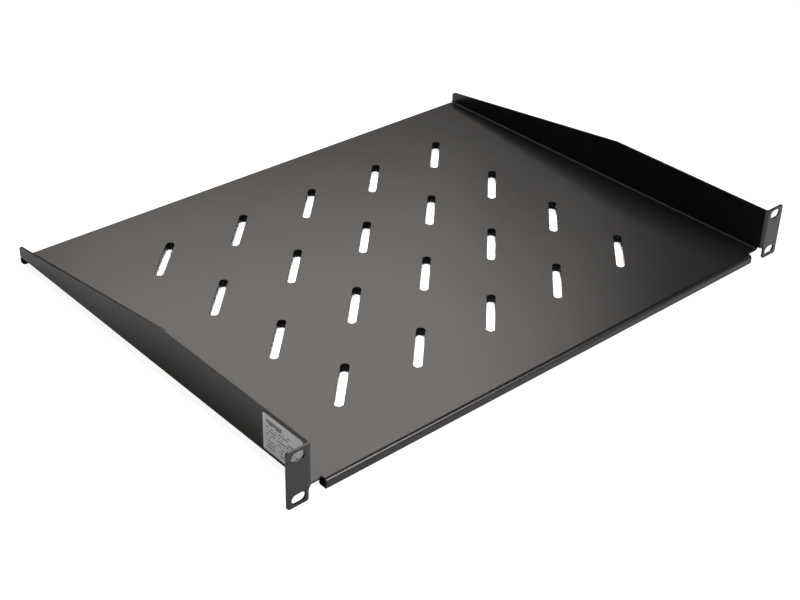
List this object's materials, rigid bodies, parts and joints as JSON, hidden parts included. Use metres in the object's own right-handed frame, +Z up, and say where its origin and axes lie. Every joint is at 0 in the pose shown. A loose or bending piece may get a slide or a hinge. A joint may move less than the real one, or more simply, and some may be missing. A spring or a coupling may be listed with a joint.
{
  "type": "rack shelf",
  "caption": "Folded sheet-metal rack shelf, one unit high: slotted tray, sloping side cheeks, two slotted rack ears, folded front lip and rear flange.",
  "frame": {"origin": "middle of the four ear holes, on the back face of the ears that lies on the rack rail", "axes": "+X across the rack to the right as seen from the front, +Y to the back along the cheeks, +Z up"},
  "size_m": [0.4826, 0.3525, 0.0428],
  "materials": {
    "powder_coat": "satin black powder coat with a fine texture",
    "label": null
  },
  "bodies": {
    "root": {"shelf_sheet": "powder_coat", "side_label": "label"}
  },
  "joints": []
}
